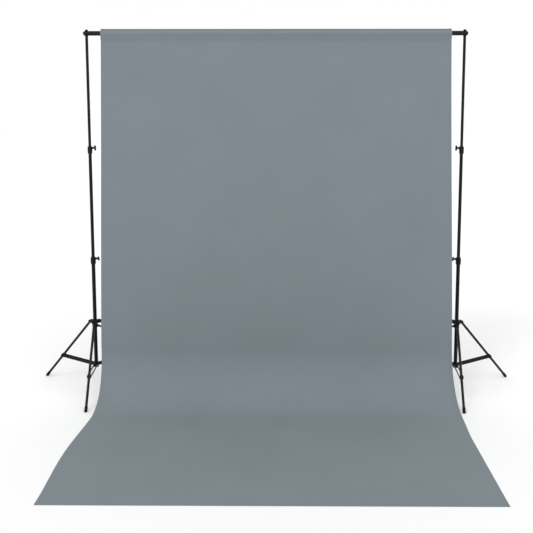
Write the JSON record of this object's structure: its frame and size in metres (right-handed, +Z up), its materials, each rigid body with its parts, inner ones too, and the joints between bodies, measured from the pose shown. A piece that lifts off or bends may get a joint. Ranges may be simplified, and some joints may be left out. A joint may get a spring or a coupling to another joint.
{
  "type": "background support system",
  "caption": "Telescopic background support: two folding tripod light stands, a sectional crossbar between them and a cloth backdrop on a rod pocket that sweeps over the floor.",
  "frame": {"origin": "on the floor, under the middle of the whole object in X and Y", "axes": "+X to the right seen from the front, +Y to the rear (behind the cloth), +Z up; the cloth sweeps forward along -Y"},
  "size_m": [3.9268, 2.119, 2.8835],
  "materials": {
    "black_tube": "satin",
    "black_casting": "matte",
    "black_knob": "satin",
    "rubber": "matte",
    "black_steel": "satin",
    "glide_plastic": "satin",
    "black_strip": "satin",
    "grey_cloth": "matte"
  },
  "bodies": {
    "crossbar": {"bar_end_sections": "black_tube", "bar_middle_sections": "black_tube", "bar_joiners": "glide_plastic", "backdrop": "grey_cloth"},
    "left_top_pole": {"left_top_tube": "black_tube", "left_spigot": "black_steel", "left_top_glide": "glide_plastic"},
    "left_nut": {"left_thumb_nut": "black_knob"},
    "left_mid_pole": {"left_mid_tube": "black_tube", "left_upper_collar": "black_casting", "left_mid_glide": "glide_plastic"},
    "left_upper_clamp": {"left_upper_knob": "black_knob"},
    "left_base_pole": {"left_base_tube": "black_tube", "left_lower_collar": "black_casting", "left_hub": "black_casting", "left_hub_rivets": "black_steel"},
    "left_lower_clamp": {"left_lower_knob": "black_knob"},
    "left_crown_slider": {"left_crown": "black_casting", "left_crown_rivets": "black_steel"},
    "left_crown_clamp": {"left_crown_knob": "black_knob"},
    "left_front_leg_arm": {"left_front_leg": "black_tube", "left_front_foot": "rubber", "left_front_bracket": "black_casting"},
    "left_front_brace_link": {"left_front_brace": "black_strip"},
    "left_outer_leg_arm": {"left_outer_leg": "black_tube", "left_outer_foot": "rubber", "left_outer_bracket": "black_casting"},
    "left_outer_brace_link": {"left_outer_brace": "black_strip"},
    "left_rear_leg_arm": {"left_rear_leg": "black_tube", "left_rear_foot": "rubber", "left_rear_bracket": "black_casting"},
    "left_rear_brace_link": {"left_rear_brace": "black_strip"},
    "right_top_pole": {"right_top_tube": "black_tube", "right_spigot": "black_steel", "right_top_glide": "glide_plastic"},
    "right_nut": {"right_thumb_nut": "black_knob"},
    "right_mid_pole": {"right_mid_tube": "black_tube", "right_upper_collar": "black_casting", "right_mid_glide": "glide_plastic"},
    "right_upper_clamp": {"right_upper_knob": "black_knob"},
    "right_base_pole": {"right_base_tube": "black_tube", "right_lower_collar": "black_casting", "right_hub": "black_casting", "right_hub_rivets": "black_steel"},
    "right_lower_clamp": {"right_lower_knob": "black_knob"},
    "right_crown_slider": {"right_crown": "black_casting", "right_crown_rivets": "black_steel"},
    "right_crown_clamp": {"right_crown_knob": "black_knob"},
    "right_front_leg_arm": {"right_front_leg": "black_tube", "right_front_foot": "rubber", "right_front_bracket": "black_casting"},
    "right_front_brace_link": {"right_front_brace": "black_strip"},
    "right_outer_leg_arm": {"right_outer_leg": "black_tube", "right_outer_foot": "rubber", "right_outer_bracket": "black_casting"},
    "right_outer_brace_link": {"right_outer_brace": "black_strip"},
    "right_rear_leg_arm": {"right_rear_leg": "black_tube", "right_rear_foot": "rubber", "right_rear_bracket": "black_casting"},
    "right_rear_brace_link": {"right_rear_brace": "black_strip"}
  },
  "joints": [
    {"name": "left_stand_swivel", "type": "hinge", "parent": "crossbar", "child": "left_top_pole", "pos_m": [-1.472, 0.74053, 2.85], "axis": [0, 0, -1], "range_deg": [0, 25]},
    {"name": "left_thumb_nut_turn", "type": "hinge", "parent": "left_top_pole", "child": "left_nut", "pos_m": [-1.472, 0.74053, 2.872], "axis": [0, 0, 1], "range_deg": [0, 720]},
    {"name": "left_upper_slide", "type": "slide", "parent": "left_top_pole", "child": "left_mid_pole", "axis": [0, 0, 1], "range_m": [0, 0.845]},
    {"name": "left_upper_knob_turn", "type": "hinge", "parent": "left_mid_pole", "child": "left_upper_clamp", "pos_m": [-1.442, 0.74053, 1.957], "axis": [1, 0, 0], "range_deg": [0, 540]},
    {"name": "left_lower_slide", "type": "slide", "parent": "left_mid_pole", "child": "left_base_pole", "axis": [0, 0, 1], "range_m": [0, 0.75]},
    {"name": "left_lower_knob_turn", "type": "hinge", "parent": "left_base_pole", "child": "left_lower_clamp", "pos_m": [-1.442, 0.74053, 1.064], "axis": [1, 0, 0], "range_deg": [0, 540]},
    {"name": "left_crown_slide", "type": "slide", "parent": "left_base_pole", "child": "left_crown_slider", "axis": [0, 0, 1], "range_m": [0, 0.40923]},
    {"name": "left_crown_knob_turn", "type": "hinge", "parent": "left_crown_slider", "child": "left_crown_clamp", "pos_m": [-1.4401, 0.72613, 0.511], "axis": [0.9114, -0.4115, 0], "range_deg": [0, 540]},
    {"name": "left_front_leg_fold", "type": "hinge", "parent": "left_crown_slider", "child": "left_front_leg_arm", "pos_m": [-1.46753, 0.69575, 0.542], "axis": [0.9951, 0.0993, 0], "range_deg": [0, 42.02]},
    {"name": "left_front_brace_fold", "type": "hinge", "parent": "left_base_pole", "child": "left_front_brace_link", "pos_m": [-1.46902, 0.71068, 0.186], "axis": [-0.9951, -0.0993, 0], "range_deg": [0, 83.26]},
    {"name": "left_outer_leg_fold", "type": "hinge", "parent": "left_crown_slider", "child": "left_outer_leg_arm", "pos_m": [-1.51301, 0.75905, 0.542], "axis": [-0.4115, -0.9114, 0], "range_deg": [0, 42.02]},
    {"name": "left_outer_brace_fold", "type": "hinge", "parent": "left_base_pole", "child": "left_outer_brace_link", "pos_m": [-1.49934, 0.75287, 0.186], "axis": [0.4115, 0.9114, 0], "range_deg": [0, 83.26]},
    {"name": "left_rear_leg_fold", "type": "hinge", "parent": "left_crown_slider", "child": "left_rear_leg_arm", "pos_m": [-1.43546, 0.76679, 0.542], "axis": [-0.5835, 0.8121, 0], "range_deg": [0, 42.02]},
    {"name": "left_rear_brace_fold", "type": "hinge", "parent": "left_base_pole", "child": "left_rear_brace_link", "pos_m": [-1.44764, 0.75804, 0.186], "axis": [0.5835, -0.8121, 0], "range_deg": [0, 83.26]},
    {"name": "right_stand_swivel", "type": "hinge", "parent": "crossbar", "child": "right_top_pole", "pos_m": [1.472, 0.74053, 2.85], "axis": [0, 0, 1], "range_deg": [0, 25]},
    {"name": "right_thumb_nut_turn", "type": "hinge", "parent": "right_top_pole", "child": "right_nut", "pos_m": [1.472, 0.74053, 2.872], "axis": [0, 0, 1], "range_deg": [0, 720]},
    {"name": "right_upper_slide", "type": "slide", "parent": "right_top_pole", "child": "right_mid_pole", "axis": [0, 0, 1], "range_m": [0, 0.845]},
    {"name": "right_upper_knob_turn", "type": "hinge", "parent": "right_mid_pole", "child": "right_upper_clamp", "pos_m": [1.442, 0.74053, 1.957], "axis": [-1, 0, 0], "range_deg": [0, 540]},
    {"name": "right_lower_slide", "type": "slide", "parent": "right_mid_pole", "child": "right_base_pole", "axis": [0, 0, 1], "range_m": [0, 0.75]},
    {"name": "right_lower_knob_turn", "type": "hinge", "parent": "right_base_pole", "child": "right_lower_clamp", "pos_m": [1.442, 0.74053, 1.064], "axis": [-1, 0, 0], "range_deg": [0, 540]},
    {"name": "right_crown_slide", "type": "slide", "parent": "right_base_pole", "child": "right_crown_slider", "axis": [0, 0, 1], "range_m": [0, 0.40923]},
    {"name": "right_crown_knob_turn", "type": "hinge", "parent": "right_crown_slider", "child": "right_crown_clamp", "pos_m": [1.4401, 0.72613, 0.511], "axis": [-0.9114, -0.4115, 0], "range_deg": [0, 540]},
    {"name": "right_front_leg_fold", "type": "hinge", "parent": "right_crown_slider", "child": "right_front_leg_arm", "pos_m": [1.46753, 0.69575, 0.542], "axis": [0.9951, -0.0993, 0], "range_deg": [0, 42.02]},
    {"name": "right_front_brace_fold", "type": "hinge", "parent": "right_base_pole", "child": "right_front_brace_link", "pos_m": [1.46902, 0.71068, 0.186], "axis": [-0.9951, 0.0993, 0], "range_deg": [0, 83.26]},
    {"name": "right_outer_leg_fold", "type": "hinge", "parent": "right_crown_slider", "child": "right_outer_leg_arm", "pos_m": [1.51301, 0.75905, 0.542], "axis": [-0.4115, 0.9114, 0], "range_deg": [0, 42.02]},
    {"name": "right_outer_brace_fold", "type": "hinge", "parent": "right_base_pole", "child": "right_outer_brace_link", "pos_m": [1.49934, 0.75287, 0.186], "axis": [0.4115, -0.9114, 0], "range_deg": [0, 83.26]},
    {"name": "right_rear_leg_fold", "type": "hinge", "parent": "right_crown_slider", "child": "right_rear_leg_arm", "pos_m": [1.43546, 0.76679, 0.542], "axis": [-0.5835, -0.8121, 0], "range_deg": [0, 42.02]},
    {"name": "right_rear_brace_fold", "type": "hinge", "parent": "right_base_pole", "child": "right_rear_brace_link", "pos_m": [1.44764, 0.75804, 0.186], "axis": [0.5835, 0.8121, 0], "range_deg": [0, 83.26]}
  ],
  "couplings": [
    {"joint": "left_front_leg_fold", "follows": "left_crown_slide", "rad_per_m": 1.7917},
    {"joint": "left_front_brace_fold", "follows": "left_crown_slide", "rad_per_m": 3.5505},
    {"joint": "left_outer_leg_fold", "follows": "left_crown_slide", "rad_per_m": 1.7917},
    {"joint": "left_outer_brace_fold", "follows": "left_crown_slide", "rad_per_m": 3.5505},
    {"joint": "left_rear_leg_fold", "follows": "left_crown_slide", "rad_per_m": 1.7917},
    {"joint": "left_rear_brace_fold", "follows": "left_crown_slide", "rad_per_m": 3.5505},
    {"joint": "right_front_leg_fold", "follows": "right_crown_slide", "rad_per_m": 1.7917},
    {"joint": "right_front_brace_fold", "follows": "right_crown_slide", "rad_per_m": 3.5505},
    {"joint": "right_outer_leg_fold", "follows": "right_crown_slide", "rad_per_m": 1.7917},
    {"joint": "right_outer_brace_fold", "follows": "right_crown_slide", "rad_per_m": 3.5505},
    {"joint": "right_rear_leg_fold", "follows": "right_crown_slide", "rad_per_m": 1.7917},
    {"joint": "right_rear_brace_fold", "follows": "right_crown_slide", "rad_per_m": 3.5505}
  ]
}
